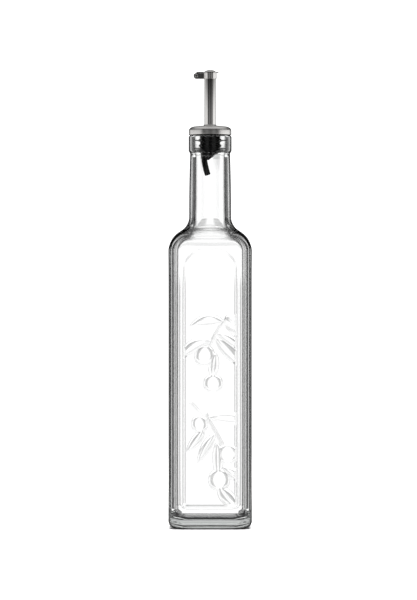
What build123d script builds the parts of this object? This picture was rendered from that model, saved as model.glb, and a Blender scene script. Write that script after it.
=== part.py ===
from build123d import *

import math
import os

# Square glass oil bottle with a flip-lid pourer in its neck.
# Millimetres. +Z is up and the origin is the middle of the base, on the surface it stands on.
# The embossed face looks towards -Y, and the lid's hinge is on the -X side of the spout.

# ---- glass bottle ----
BODY_WIDTH = 56.6          # square body, across the flats
BODY_CORNER = 9.0          # plan radius of the body's corners
HEEL_RADIUS = 5.5          # rounding between the walls and the base
WALL = 3.5                 # glass thickness of the body and shoulder
FLOOR = 6.0                # glass thickness of the base
FLOOR_CORNER = 5.0         # rounding inside, between wall and floor
PUSH_UP_WIDTH = 38.0       # shallow recess under the base, so that the bottle stands on a ring
PUSH_UP_CORNER = 8.0
PUSH_UP_DEPTH = 1.0
SHOULDER_BOTTOM = 188.0    # where the flat walls start to curve in
SHOULDER_CONVEX = 15.3     # profile radius of the shoulder's lower, outward arc
SHOULDER_CONCAVE = 11.0    # profile radius of the upper arc that runs into the neck
SHOULDER_SLOPE = 56.0      # steepest lean of the shoulder, in degrees from upright
SHOULDER_STEPS = 3         # straight bands that make up the shoulder's lower arc
SHOULDER_CORNER_GROWTH = 6.0   # the corners round off by this much towards the neck
NECK_BOTTOM = 211.4
NECK_FOOT_RADIUS = 24.4    # where the neck's flare meets the top of the square shoulder
NECK_SUNK = 1.5            # how far the flare's foot is sunk into the shoulder
FUNNEL_SPREAD = 9.0        # inside, the neck's bore opens out towards the body
FUNNEL_BOTTOM = 199.0
NECK_BOTTOM_RADIUS = 14.3
NECK_TOP_RADIUS = 13.6
NECK_BORE_RADIUS = 10.45
FINISH_RADIUS = 14.65      # thickened ring at the mouth
FINISH_BOTTOM = 255.1
RIM_TOP = 266.5
MOUTH_RADIUS = 11.3        # wider bore that the stopper's fins seal against
MOUTH_DEPTH = 12.5
RIM_ROUNDING = 0.9
FINISH_STEP = 1.0          # the neck stops tapering this far below the ring

# ---- stopper and core ----
SEAT_GAP = 0.1             # between the core's disc and the glass rim
RUNNING_GAP = 0.05         # where the spout turns in the stopper, and the lid on its pin
STEM_RADIUS = 5.8
SLEEVE_RADIUS = 6.9
SLEEVE_BOTTOM = 257.0
ROOT_OVERLAP = 0.5         # ribs and fins start this far inside the sleeve
BEAD_RADIUS = 7.8          # rounded ribs round the sleeve
BEAD_HALF_HEIGHT = 0.9
BEAD_HEIGHTS = (259.9, 263.2)
FIN_RADIUS = MOUTH_RADIUS - 0.1
FIN_THICKNESS = 0.4
FIN_DROOP = 0.5            # each fin's root sits this much lower than its lip
FIN_HEIGHTS = (257.9, 263.2)
DISC_RADIUS = 13.8
DISC_TOP = 271.4
DISC_ROUNDING = 2.6
NOZZLE_FLANGE_RADIUS = 7.2
NOZZLE_FLANGE_BOTTOM = 254.0
NOZZLE_BOTTOM = 249.8
NOZZLE_TIP_RADIUS = 2.9
NOZZLE_TIP_X = -2.9
FLOW_RADIUS = 2.6          # oil channel
FLOW_X = 0.9
AIR_X = -4.0               # air channel
AIR_RADIUS = 0.8
AIR_HOLE_RADIUS = 0.5      # from the air channel through the disc
AIR_HOLE_X = -4.65
AIR_HOLE_OVERLAP = 1.0     # length over which the two air holes run side by side

# ---- breather tube ----
BREATHER_RADIUS = 2.0
BREATHER_LEAD = 1.0        # the curve starts this far inside the nozzle, and is cut off level with it
SPIGOT_TOP = 253.6
BREATHER_BEND = (-3.3, 246.0)      # x and z of a point half way down its curve
BREATHER_TIP = (-1.5, 239.5)
BREATHER_TIP_ROUNDING = 0.6

# ---- steel cap and spout ----
CAP_RADIUS = 14.5
CAP_BOTTOM = 267.0
CAP_SHOULDER_BOTTOM = 270.0
CAP_DOME_RADIUS = 10.4     # where the rounded shoulder meets the shallow dome
CAP_DOME_EDGE = 272.8
CAP_DOME_TOP = 273.4
CAP_SHEET = 0.5
HUB_FLARE = 0.7            # flare of the cap's drawn collar, up to the tube
VENT_RADIUS = 0.6
VENT_Y = 9.0
TUBE_RADIUS = 3.95
TUBE_BORE = 3.45
TUBE_BOTTOM = 268.4
TUBE_TOP = 309.2
TUBE_LIP_ROUNDING = 0.15

# ---- hinge and lid ----
COLLAR_SHEET = 0.45
HINGE_X = -9.35
HINGE_Z = 307.3
EAR_RADIUS = 1.9
EAR_INNER_Y = 1.6          # inside face of each ear
PIN_RADIUS = 0.75
PIN_HEAD_RADIUS = 1.15
PIN_HEAD_THICKNESS = 0.4
PIN_HEAD_ROUNDING = 0.25
KNUCKLE_RADIUS = 1.5
KNUCKLE_HALF_WIDTH = 1.4
KNUCKLE_WEB = 1.3          # thickness of the fold that joins the knuckle to the lid
LID_BOTTOM = 309.4
LID_SHEET = 0.6
LID_RADIUS = 4.9           # disc of the lid, over the spout's mouth
LID_TONGUE_HALF_WIDTH = 2.4
LID_LIP_X = 5.9            # thumb lip, opposite the hinge
LID_LIP_HALF_WIDTH = 2.2
LID_LIP_CORNER = 1.4
LID_DOME_RADIUS = 4.1
LID_DOME_TOP = 311.5
PAD_RADIUS = 3.4
PAD_BOTTOM = TUBE_TOP + 0.02
PAD_TOP = 310.4            # inside the lid's dome

CUT_CLEAR = 5.0            # how far a cutting solid runs past what it cuts


def rounded_square(half_width, corner):
    """A square section with rounded corners, as four straight and four curved edges."""
    return RectangleRounded(2 * half_width, 2 * half_width, corner)


def flare_point(turn_degrees):
    """A point on the concave arc that runs from the shoulder into the neck."""
    turn = math.radians(turn_degrees)
    across = NECK_BOTTOM_RADIUS + SHOULDER_CONCAVE * (1 - math.cos(turn))
    return (across, NECK_BOTTOM - SHOULDER_CONCAVE * math.sin(turn))


def shoulder_sections(inset):
    """Half width, z and corner radius of the shoulder's sections, set in by the glass thickness."""
    half = BODY_WIDTH / 2 - inset
    sections = []
    for step in range(SHOULDER_STEPS + 1):
        turn = math.radians(SHOULDER_SLOPE) * step / SHOULDER_STEPS
        width = half - (SHOULDER_CONVEX - inset) * (1 - math.cos(turn))
        z = SHOULDER_BOTTOM + (SHOULDER_CONVEX - inset) * math.sin(turn)
        rounding = BODY_CORNER - inset + SHOULDER_CORNER_GROWTH * step / SHOULDER_STEPS
        sections.append((width, z, rounding))
    return sections


def cap_shoulder_middle(inset):
    """Half way round the cap's shoulder, set in by the sheet thickness."""
    across = CAP_RADIUS - inset - CAP_DOME_RADIUS
    up = CAP_DOME_EDGE - inset - CAP_SHOULDER_BOTTOM
    eighth = math.radians(45)
    return (CAP_DOME_RADIUS + across * math.cos(eighth), CAP_SHOULDER_BOTTOM + up * math.sin(eighth))


with BuildPart() as glass_outside:
    with BuildSketch(Plane.XY):
        rounded_square(BODY_WIDTH / 2, BODY_CORNER)
    extrude(amount=SHOULDER_BOTTOM)
    fillet(glass_outside.faces().sort_by(Axis.Z)[0].edges(), HEEL_RADIUS)
    for half_width, z, corner in shoulder_sections(0):
        with BuildSketch(Plane.XY.offset(z)):
            rounded_square(half_width, corner)
    loft(ruled=True)
    # The neck, flared at its foot to cover the top of the square shoulder.
    flare_z = shoulder_sections(0)[-1][1]
    with BuildSketch(Plane.XZ):
        with BuildLine():
            Line((0, flare_z - NECK_SUNK), (NECK_FOOT_RADIUS + NECK_SUNK, flare_z - NECK_SUNK))
            Line((NECK_FOOT_RADIUS + NECK_SUNK, flare_z - NECK_SUNK), (NECK_FOOT_RADIUS, flare_z))
            Line((NECK_FOOT_RADIUS, flare_z), flare_point(SHOULDER_SLOPE))
            ThreePointArc(flare_point(SHOULDER_SLOPE), flare_point(SHOULDER_SLOPE / 2), flare_point(0))
            Polyline(
                (NECK_BOTTOM_RADIUS, NECK_BOTTOM),
                (NECK_TOP_RADIUS, FINISH_BOTTOM - FINISH_STEP),
                (NECK_TOP_RADIUS, RIM_TOP - 2 * RIM_ROUNDING),
                (0, RIM_TOP - 2 * RIM_ROUNDING),
                (0, flare_z - NECK_SUNK),
            )
        make_face()
    revolve(axis=Axis.Z)

with BuildPart() as glass_finish:
    with BuildSketch(Plane.XY.offset(FINISH_BOTTOM)):
        Circle(FINISH_RADIUS)
    extrude(amount=RIM_TOP - FINISH_BOTTOM)
    fillet(glass_finish.edges(), RIM_ROUNDING)

with BuildPart() as glass_inside:
    with BuildSketch(Plane.XY.offset(FLOOR)):
        rounded_square(BODY_WIDTH / 2 - WALL, BODY_CORNER - WALL)
    extrude(amount=SHOULDER_BOTTOM - FLOOR)
    fillet(glass_inside.faces().sort_by(Axis.Z)[0].edges(), FLOOR_CORNER)
    for half_width, z, corner in shoulder_sections(WALL):
        with BuildSketch(Plane.XY.offset(z)):
            rounded_square(half_width, corner)
    loft(ruled=True)
    with BuildSketch(Plane.XZ):
        with BuildLine():
            Polyline(
                (0, SHOULDER_BOTTOM),
                (NECK_BORE_RADIUS + FUNNEL_SPREAD, SHOULDER_BOTTOM),
                (NECK_BORE_RADIUS + FUNNEL_SPREAD, FUNNEL_BOTTOM),
                (NECK_BORE_RADIUS, NECK_BOTTOM),
                (NECK_BORE_RADIUS, RIM_TOP - MOUTH_DEPTH),
                (MOUTH_RADIUS, RIM_TOP - MOUTH_DEPTH),
                (MOUTH_RADIUS, RIM_TOP + CUT_CLEAR),
                (0, RIM_TOP + CUT_CLEAR),
                close=True,
            )
        make_face()
    revolve(axis=Axis.Z)

with BuildPart() as glass_bottle:
    add(glass_outside.part)
    add(glass_finish.part)
    add(glass_inside.part, mode=Mode.SUBTRACT)
    with BuildSketch(Plane.XY):
        rounded_square(PUSH_UP_WIDTH / 2, PUSH_UP_CORNER)
    extrude(amount=PUSH_UP_DEPTH, mode=Mode.SUBTRACT)

# Rubber sleeve with two rounded ribs, and two thin fins that bend against the mouth's wall.
with BuildPart() as fin_stopper:
    sleeve_top = RIM_TOP + SEAT_GAP - RUNNING_GAP
    with BuildSketch(Plane.XY.offset(SLEEVE_BOTTOM)):
        Circle(SLEEVE_RADIUS)
    extrude(amount=sleeve_top - SLEEVE_BOTTOM)
    for height in BEAD_HEIGHTS:
        with BuildSketch(Plane.XZ):
            with BuildLine():
                ThreePointArc(
                    (SLEEVE_RADIUS - ROOT_OVERLAP, height - BEAD_HALF_HEIGHT),
                    (BEAD_RADIUS, height),
                    (SLEEVE_RADIUS - ROOT_OVERLAP, height + BEAD_HALF_HEIGHT),
                )
                Line(
                    (SLEEVE_RADIUS - ROOT_OVERLAP, height + BEAD_HALF_HEIGHT),
                    (SLEEVE_RADIUS - ROOT_OVERLAP, height - BEAD_HALF_HEIGHT),
                )
            make_face()
        revolve(axis=Axis.Z)
    for height in FIN_HEIGHTS:
        with BuildSketch(Plane.XZ):
            with BuildLine():
                Polyline(
                    (SLEEVE_RADIUS - ROOT_OVERLAP, height - FIN_DROOP),
                    (FIN_RADIUS, height - FIN_THICKNESS / 2),
                    (FIN_RADIUS, height + FIN_THICKNESS / 2),
                    (SLEEVE_RADIUS - ROOT_OVERLAP, height + FIN_THICKNESS / 2),
                    close=True,
                )
            make_face()
        revolve(axis=Axis.Z)
    with BuildSketch(Plane.XY.offset(SLEEVE_BOTTOM - CUT_CLEAR)):
        Circle(STEM_RADIUS + RUNNING_GAP)
    extrude(amount=sleeve_top - SLEEVE_BOTTOM + 2 * CUT_CLEAR, mode=Mode.SUBTRACT)

# Plastic core: the disc inside the cap, the stem through the stopper, and the slanted nozzle below.
with BuildPart() as pourer_core:
    disc_bottom = RIM_TOP + SEAT_GAP
    with BuildSketch(Plane.XY.offset(disc_bottom)):
        Circle(DISC_RADIUS)
    extrude(amount=DISC_TOP - disc_bottom)
    fillet(pourer_core.edges().sort_by(Axis.Z)[-1], DISC_ROUNDING)
    with BuildSketch(Plane.XY.offset(NOZZLE_FLANGE_BOTTOM)):
        Circle(STEM_RADIUS)
    extrude(amount=disc_bottom - NOZZLE_FLANGE_BOTTOM)
    with BuildSketch(Plane.XY.offset(NOZZLE_FLANGE_BOTTOM)):
        Circle(NOZZLE_FLANGE_RADIUS)
    extrude(amount=SLEEVE_BOTTOM - RUNNING_GAP - NOZZLE_FLANGE_BOTTOM)
    with BuildSketch(Plane.XY.offset(NOZZLE_FLANGE_BOTTOM)):
        Circle(NOZZLE_FLANGE_RADIUS)
    with BuildSketch(Plane.XY.offset(NOZZLE_BOTTOM)):
        with Locations((NOZZLE_TIP_X, 0)):
            Circle(NOZZLE_TIP_RADIUS)
    loft()
    # Socket for the spout tube, then the oil channel down through the nozzle's slanted side.
    with BuildSketch(Plane.XY.offset(TUBE_BOTTOM)):
        Circle(TUBE_RADIUS)
    extrude(amount=DISC_TOP - TUBE_BOTTOM, mode=Mode.SUBTRACT)
    with BuildSketch(Plane.XY.offset(NOZZLE_BOTTOM - CUT_CLEAR)):
        with Locations((FLOW_X, 0)):
            Circle(FLOW_RADIUS)
    extrude(amount=TUBE_BOTTOM - NOZZLE_BOTTOM + CUT_CLEAR, mode=Mode.SUBTRACT)
    # Air channel, narrowed where it passes the tube's socket.
    with BuildSketch(Plane.XY.offset(NOZZLE_BOTTOM - CUT_CLEAR)):
        with Locations((AIR_X, 0)):
            Circle(AIR_RADIUS)
    extrude(amount=disc_bottom - NOZZLE_BOTTOM + CUT_CLEAR, mode=Mode.SUBTRACT)
    with BuildSketch(Plane.XY.offset(disc_bottom - AIR_HOLE_OVERLAP)):
        with Locations((AIR_HOLE_X, 0)):
            Circle(AIR_HOLE_RADIUS)
    extrude(amount=DISC_TOP - disc_bottom + CUT_CLEAR, mode=Mode.SUBTRACT)

# Curved breather tube that plugs into the core's air channel.
with BuildPart() as breather_tube:
    with BuildLine(Plane.XZ) as breather_line:
        ThreePointArc((AIR_X, NOZZLE_BOTTOM + BREATHER_LEAD), BREATHER_BEND, BREATHER_TIP)
    with BuildSketch(Plane(origin=breather_line.line @ 0, z_dir=breather_line.line % 0)):
        Circle(BREATHER_RADIUS)
    sweep()
    fillet(breather_tube.edges().sort_by(Axis.Z)[0], BREATHER_TIP_ROUNDING)
    split(bisect_by=Plane.XY.offset(NOZZLE_BOTTOM), keep=Keep.BOTTOM)
    with BuildSketch(Plane.XY.offset(NOZZLE_BOTTOM)):
        with Locations((AIR_X, 0)):
            Circle(AIR_RADIUS)
    extrude(amount=SPIGOT_TOP - NOZZLE_BOTTOM)
    with BuildLine(Plane.XZ) as bore_line:
        ThreePointArc((AIR_X, NOZZLE_BOTTOM), BREATHER_BEND, BREATHER_TIP)
    with BuildSketch(Plane(origin=bore_line.line @ 0, z_dir=bore_line.line % 0)):
        Circle(AIR_HOLE_RADIUS)
    sweep(mode=Mode.SUBTRACT)
    with BuildSketch(Plane.XY.offset(NOZZLE_BOTTOM)):
        with Locations((AIR_X, 0)):
            Circle(AIR_HOLE_RADIUS)
    extrude(amount=SPIGOT_TOP - NOZZLE_BOTTOM, mode=Mode.SUBTRACT)

# Drawn steel cap with a collar that grips the spout tube, and a vent hole at the back.
with BuildPart() as cap_shell:
    inner_radius = CAP_RADIUS - CAP_SHEET
    flare_middle = HUB_FLARE * (1 - math.cos(math.radians(45)))
    with BuildSketch(Plane.XZ):
        with BuildLine():
            Polyline(
                (inner_radius, CAP_BOTTOM),
                (CAP_RADIUS, CAP_BOTTOM),
                (CAP_RADIUS, CAP_SHOULDER_BOTTOM),
            )
            ThreePointArc(
                (CAP_RADIUS, CAP_SHOULDER_BOTTOM),
                cap_shoulder_middle(0),
                (CAP_DOME_RADIUS, CAP_DOME_EDGE),
            )
            Line((CAP_DOME_RADIUS, CAP_DOME_EDGE), (TUBE_RADIUS + HUB_FLARE, CAP_DOME_TOP))
            ThreePointArc(
                (TUBE_RADIUS + HUB_FLARE, CAP_DOME_TOP),
                (TUBE_RADIUS + flare_middle, CAP_DOME_TOP + flare_middle),
                (TUBE_RADIUS, CAP_DOME_TOP + HUB_FLARE),
            )
            Polyline(
                (TUBE_RADIUS, CAP_DOME_TOP + HUB_FLARE),
                (TUBE_RADIUS, CAP_DOME_TOP - CAP_SHEET),
                (CAP_DOME_RADIUS, CAP_DOME_EDGE - CAP_SHEET),
            )
            ThreePointArc(
                (CAP_DOME_RADIUS, CAP_DOME_EDGE - CAP_SHEET),
                cap_shoulder_middle(CAP_SHEET),
                (inner_radius, CAP_SHOULDER_BOTTOM),
            )
            Line((inner_radius, CAP_SHOULDER_BOTTOM), (inner_radius, CAP_BOTTOM))
        make_face()
    revolve(axis=Axis.Z)
    with BuildSketch(Plane.XY.offset(CAP_BOTTOM)):
        with Locations((0, VENT_Y)):
            Circle(VENT_RADIUS)
    extrude(amount=CAP_DOME_TOP, mode=Mode.SUBTRACT)

with BuildPart() as spout_tube:
    with BuildSketch(Plane.XY.offset(TUBE_BOTTOM)):
        Circle(TUBE_RADIUS)
        Circle(TUBE_BORE, mode=Mode.SUBTRACT)
    extrude(amount=TUBE_TOP - TUBE_BOTTOM)
    fillet(spout_tube.edges().group_by(Axis.Z)[-1], TUBE_LIP_ROUNDING)

# Steel band round the tube, whose two ends run out as the hinge's ears.
with BuildPart() as hinge_collar:
    collar_radius = TUBE_RADIUS + COLLAR_SHEET
    ear_bottom = HINGE_Z - EAR_RADIUS
    ear_outer_y = EAR_INNER_Y + COLLAR_SHEET
    with BuildSketch(Plane.XY.offset(ear_bottom)):
        Circle(collar_radius)
        with Locations((HINGE_X / 2, 0)):
            Rectangle(-HINGE_X, 2 * ear_outer_y)
        Circle(TUBE_RADIUS, mode=Mode.SUBTRACT)
        with Locations((HINGE_X / 2, 0)):
            Rectangle(-HINGE_X, 2 * EAR_INNER_Y, mode=Mode.SUBTRACT)
    extrude(amount=2 * EAR_RADIUS)
    with BuildSketch(Plane.XZ.offset(-ear_outer_y)):
        with Locations((HINGE_X, HINGE_Z)):
            Circle(EAR_RADIUS)
    extrude(amount=COLLAR_SHEET)
    with BuildSketch(Plane.XZ.offset(EAR_INNER_Y)):
        with Locations((HINGE_X, HINGE_Z)):
            Circle(EAR_RADIUS)
    extrude(amount=COLLAR_SHEET)
    with BuildSketch(Plane.XZ.offset(-ear_outer_y - CUT_CLEAR)):
        with Locations((HINGE_X, HINGE_Z)):
            Circle(PIN_RADIUS)
    extrude(amount=2 * (ear_outer_y + CUT_CLEAR), mode=Mode.SUBTRACT)

with BuildPart() as hinge_pin:
    with BuildSketch(Plane.XZ.offset(-ear_outer_y)):
        with Locations((HINGE_X, HINGE_Z)):
            Circle(PIN_RADIUS)
    extrude(amount=2 * ear_outer_y)
    with BuildSketch(Plane.XZ.offset(ear_outer_y)):
        with Locations((HINGE_X, HINGE_Z)):
            Circle(PIN_HEAD_RADIUS)
    extrude(amount=PIN_HEAD_THICKNESS)
    with BuildSketch(Plane.XZ.offset(-ear_outer_y)):
        with Locations((HINGE_X, HINGE_Z)):
            Circle(PIN_HEAD_RADIUS)
    extrude(amount=-PIN_HEAD_THICKNESS)
    fillet(hinge_pin.edges().group_by(Axis.Y)[0], PIN_HEAD_ROUNDING)
    fillet(hinge_pin.edges().group_by(Axis.Y)[-1], PIN_HEAD_ROUNDING)

# Pressed lid: a flat tongue from the hinge, a domed disc over the mouth and a thumb lip.
with BuildPart() as flap_lid:
    with BuildSketch(Plane.XY.offset(LID_BOTTOM)):
        Circle(LID_RADIUS)
        with Locations((HINGE_X / 2, 0)):
            Rectangle(-HINGE_X, 2 * LID_TONGUE_HALF_WIDTH)
        with Locations((LID_LIP_X / 2, 0)):
            Rectangle(LID_LIP_X, 2 * LID_LIP_HALF_WIDTH)
    extrude(amount=LID_SHEET)
    fillet(flap_lid.edges().filter_by(Axis.Z).sort_by(Axis.X)[-2:], LID_LIP_CORNER)
    lid_top = LID_BOTTOM + LID_SHEET
    dome_root = LID_BOTTOM + LID_SHEET / 2
    dome_rise = LID_DOME_TOP - lid_top
    dome_sphere = (LID_DOME_RADIUS**2 + dome_rise**2) / (2 * dome_rise)
    with BuildSketch(Plane.XZ):
        with BuildLine():
            Line((0, dome_root), (LID_DOME_RADIUS, dome_root))
            Line((LID_DOME_RADIUS, dome_root), (LID_DOME_RADIUS, lid_top))
            CenterArc(
                (0, LID_DOME_TOP - dome_sphere),
                dome_sphere,
                90,
                -math.degrees(math.asin(LID_DOME_RADIUS / dome_sphere)),
            )
            Line((0, LID_DOME_TOP), (0, dome_root))
        make_face()
    revolve(axis=Axis.Z)
    with BuildSketch(Plane.XY.offset(LID_BOTTOM - CUT_CLEAR)):
        Circle(PAD_RADIUS)
    extrude(amount=PAD_TOP - LID_BOTTOM + CUT_CLEAR, mode=Mode.SUBTRACT)
    # Knuckle folded down between the ears, round the pin.
    with BuildSketch(Plane.XZ.offset(-KNUCKLE_HALF_WIDTH)):
        with Locations((HINGE_X, HINGE_Z)):
            Circle(KNUCKLE_RADIUS)
        with Locations((HINGE_X + KNUCKLE_WEB / 2, (HINGE_Z + dome_root) / 2)):
            Rectangle(KNUCKLE_WEB, dome_root - HINGE_Z)
    extrude(amount=2 * KNUCKLE_HALF_WIDTH)
    with BuildSketch(Plane.XZ.offset(-KNUCKLE_HALF_WIDTH - CUT_CLEAR)):
        with Locations((HINGE_X, HINGE_Z)):
            Circle(PIN_RADIUS + RUNNING_GAP)
    extrude(amount=2 * (KNUCKLE_HALF_WIDTH + CUT_CLEAR), mode=Mode.SUBTRACT)

# Soft disc that seals the spout's mouth.
with BuildPart() as lid_pad:
    with BuildSketch(Plane.XY.offset(PAD_BOTTOM)):
        Circle(PAD_RADIUS)
    extrude(amount=PAD_TOP - PAD_BOTTOM)

pieces = {
    "glass_bottle": glass_bottle,
    "fin_stopper": fin_stopper,
    "pourer_core": pourer_core,
    "breather_tube": breather_tube,
    "cap_shell": cap_shell,
    "spout_tube": spout_tube,
    "hinge_collar": hinge_collar,
    "hinge_pin": hinge_pin,
    "flap_lid": flap_lid,
    "lid_pad": lid_pad,
}
os.makedirs("parts", exist_ok=True)
for name, piece in pieces.items():
    piece.part.label = name
    export_step(piece.part, f"parts/{name}.step")
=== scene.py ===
import math

import bmesh
import bpy
import numpy as np
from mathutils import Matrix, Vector


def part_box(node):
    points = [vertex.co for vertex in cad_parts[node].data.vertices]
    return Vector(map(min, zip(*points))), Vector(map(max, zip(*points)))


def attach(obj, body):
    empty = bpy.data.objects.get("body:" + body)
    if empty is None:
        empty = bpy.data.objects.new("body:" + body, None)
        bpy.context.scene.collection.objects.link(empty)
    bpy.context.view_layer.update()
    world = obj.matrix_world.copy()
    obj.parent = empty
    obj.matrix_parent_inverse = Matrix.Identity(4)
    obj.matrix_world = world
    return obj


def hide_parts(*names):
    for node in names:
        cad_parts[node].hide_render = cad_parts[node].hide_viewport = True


# A square glass oil bottle with a steel flip-lid pourer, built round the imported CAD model.
# Blender's unit here is the metre; outlines are worked out in millimetres and scaled at the end.
MM = 0.001

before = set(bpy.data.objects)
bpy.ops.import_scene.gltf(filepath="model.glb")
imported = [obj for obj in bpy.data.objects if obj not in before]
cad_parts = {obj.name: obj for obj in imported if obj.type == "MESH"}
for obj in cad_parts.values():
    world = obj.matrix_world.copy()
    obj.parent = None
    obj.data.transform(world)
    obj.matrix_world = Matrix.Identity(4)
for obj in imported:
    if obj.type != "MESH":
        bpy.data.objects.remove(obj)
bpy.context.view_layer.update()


# ---------------------------------------------------------------- sizes from the frame

def box_mm(node):
    """Lowest and highest corner of a CAD node, in millimetres."""
    low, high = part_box(node)
    return low / MM, high / MM


glass_high = box_mm("glass_bottle")[1]
BODY_HALF = glass_high.x
RIM_TOP = glass_high.z

# Glass sections that the box can't tell.
CORNER = 9.0               # rounding of the body's upright edges
HEEL_RADIUS = 5.5
WALL = 3.5
WALL_SWELL = 0.18          # how far the wall stands out at the heel
SHOULDER_SWELL = 0.10      # and at the shoulder
FLOOR = 6.0
FLOOR_CORNER = 5.0
SHOULDER_Z = 188.0
SHOULDER_CONVEX = 15.3
SHOULDER_CONCAVE = 11.0
NECK_Z = 211.4
NECK_RADIUS = 14.3
NECK_TOP_RADIUS = 13.6
NECK_SWELL = 0.22
BORE_RADIUS = 10.45
BORE_TOP_DEPTH = 16.0      # below the rim
MOUTH_RADIUS = 11.3
MOUTH_DEPTH = 10.5
MOUTH_TAPER = 4.5          # height over which the mouth narrows to the bore
FINISH_RADIUS = 14.65
FINISH_Z = 255.1
FINISH_SLOPE = 2.2         # height over which the neck swells to the ring
RIM_OUTER_ROUNDING = 1.0
RIM_INNER_ROUNDING = 0.8
# Push-up under the base and slight hollow of the floor inside: half width and height.
PUSH_UP = [(2.0, 1.05), (6.0, 1.0), (12.0, 0.95), (17.0, 0.85), (18.6, 0.6), (19.6, 0.2), (20.6, 0.0)]
FLOOR_HOLLOW = [(16.0, 0.15), (10.0, 0.2), (4.0, 0.2)]

# Pourer.
tube_low, tube_high = box_mm("spout_tube")
cap_low, cap_high = box_mm("cap_shell")
core_low, core_high = box_mm("pourer_core")
stopper_low, stopper_high = box_mm("fin_stopper")
pin_low, pin_high = box_mm("hinge_pin")
pad_low, pad_high = box_mm("lid_pad")
collar_high = box_mm("hinge_collar")[1]
lid_high = box_mm("flap_lid")[1]
breather_high = box_mm("breather_tube")[1]
TUBE_RADIUS = tube_high.x
TUBE_BORE = 3.45
HINGE_X = (pin_low.x + pin_high.x) / 2
HINGE_Z = (pin_low.z + pin_high.z) / 2


# ---------------------------------------------------------------- small mesh helpers

def arc(centre, radius, start, end, steps):
    """Points on an arc from start to end degrees, measured from the first axis."""
    angles = np.radians(np.linspace(start, end, steps + 1))
    return [(centre[0] + radius * math.cos(a), centre[1] + radius * math.sin(a)) for a in angles]


def quarter_ellipse(centre, across, up, start, end, steps):
    """Points on part of an upright ellipse, from start to end degrees."""
    angles = np.radians(np.linspace(start, end, steps + 1))
    return [(centre[0] + across * math.cos(a), centre[1] + up * math.sin(a)) for a in angles]


def level_ring(x, radius, z, segments=96):
    """A level circle, or a single point where the radius is 0."""
    if radius == 0:
        return [(x, 0, z)]
    turns = np.linspace(0, 2 * math.pi, segments, endpoint=False)
    return [(x + radius * math.cos(turn), radius * math.sin(turn), z) for turn in turns]


def skin(rings, loop=True):
    """A surface through rings of points; a ring of one point is a pole."""
    starts = np.cumsum([0] + [len(ring) for ring in rings])
    points = [point for ring in rings for point in ring]
    pairs = [(row, row + 1) for row in range(len(rings) - 1)]
    if loop:
        pairs.append((len(rings) - 1, 0))
    faces = []
    for low, high in pairs:
        count = max(len(rings[low]), len(rings[high]))
        for here in range(count):
            after = (here + 1) % count
            if len(rings[low]) == 1:
                corners = (starts[low], starts[high] + after, starts[high] + here)
            elif len(rings[high]) == 1:
                corners = (starts[low] + here, starts[low] + after, starts[high])
            else:
                corners = (
                    starts[low] + here, starts[low] + after, starts[high] + after, starts[high] + here
                )
            faces.append(tuple(int(corner) for corner in corners))
    return points, faces


def lathe(profile, loop=True):
    """A profile of radius and z, turned round the bottle's axis."""
    return skin([level_ring(0, radius, z) for radius, z in profile], loop)


def peg(x, radius, low, high, segments=48):
    """A plain upright peg, for cutting a round hole."""
    stations = [(0, low), (radius, low), (radius, high), (0, high)]
    return skin([level_ring(x, width, z, segments) for width, z in stations], loop=False)


def solid_mesh(points_mm, faces):
    """A mesh from points in millimetres, with its faces turned outwards."""
    mesh = bpy.data.meshes.new("solid")
    mesh.from_pydata([tuple(p) for p in np.asarray(points_mm) * MM], [], faces)
    shape = bmesh.new()
    shape.from_mesh(mesh)
    bmesh.ops.recalc_face_normals(shape, faces=shape.faces)
    shape.to_mesh(mesh)
    shape.free()
    return mesh


def settle_modifiers(piece):
    """Turn the piece's modifiers into its own mesh."""
    bpy.context.view_layer.update()
    graph = bpy.context.evaluated_depsgraph_get()
    mesh = bpy.data.meshes.new_from_object(piece.evaluated_get(graph))
    piece.modifiers.clear()
    piece.data = mesh


def combine(piece, operation, solid):
    """Cut a solid away from the piece, or join it on."""
    tool = bpy.data.objects.new("tool", solid_mesh(*solid))
    bpy.context.scene.collection.objects.link(tool)
    step = piece.modifiers.new(operation, "BOOLEAN")
    step.operation = operation
    step.solver = "EXACT"
    step.object = tool
    settle_modifiers(piece)
    bpy.data.objects.remove(tool)


def new_piece(name, solid, body):
    """An object made from a solid, which rides on a body."""
    piece = bpy.data.objects.new(name, solid_mesh(*solid))
    bpy.context.scene.collection.objects.link(piece)
    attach(piece, body)
    return piece


def finish_piece(piece, material, node, sharp_degrees=40):
    """Material, smooth shading broken at real edges, and hides the CAD node that the piece stands for."""
    piece.data.name = piece.name
    piece.data.shade_smooth()
    piece.data.set_sharp_from_angle(angle=math.radians(sharp_degrees))
    piece.data.materials.clear()
    piece.data.materials.append(material)
    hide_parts(node)


# ---------------------------------------------------------------- materials

def node_material(name):
    """A new node material and its shader, output and tree."""
    material = bpy.data.materials.new(name)
    material.use_nodes = True
    tree = material.node_tree
    return material, tree, tree.nodes["Principled BSDF"], tree.nodes["Material Output"]


def fill_ramp(ramp, table):
    """Grey stops for a colour ramp: place from 0 to 1, and share from 0 to 1."""
    stops = ramp.color_ramp.elements
    while len(stops) < len(table):
        stops.new(0.5)
    for stop, (place, share) in zip(stops, table):
        stop.position = place
        stop.color = (share, share, share, 1)


GLASS_IOR = 1.52
GLASS_DENSITY = 50.0       # of the grey that long ways through the glass take on
# Painted shade on the glass's colour: how much it lets through, from seen square-on (0) to seen edge-on (1).
PAINTED_EDGE_SHADE = [(0.0, 1.0), (0.40, 1.0), (0.54, 0.25), (0.64, 0.01), (1.0, 0.0)]


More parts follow.
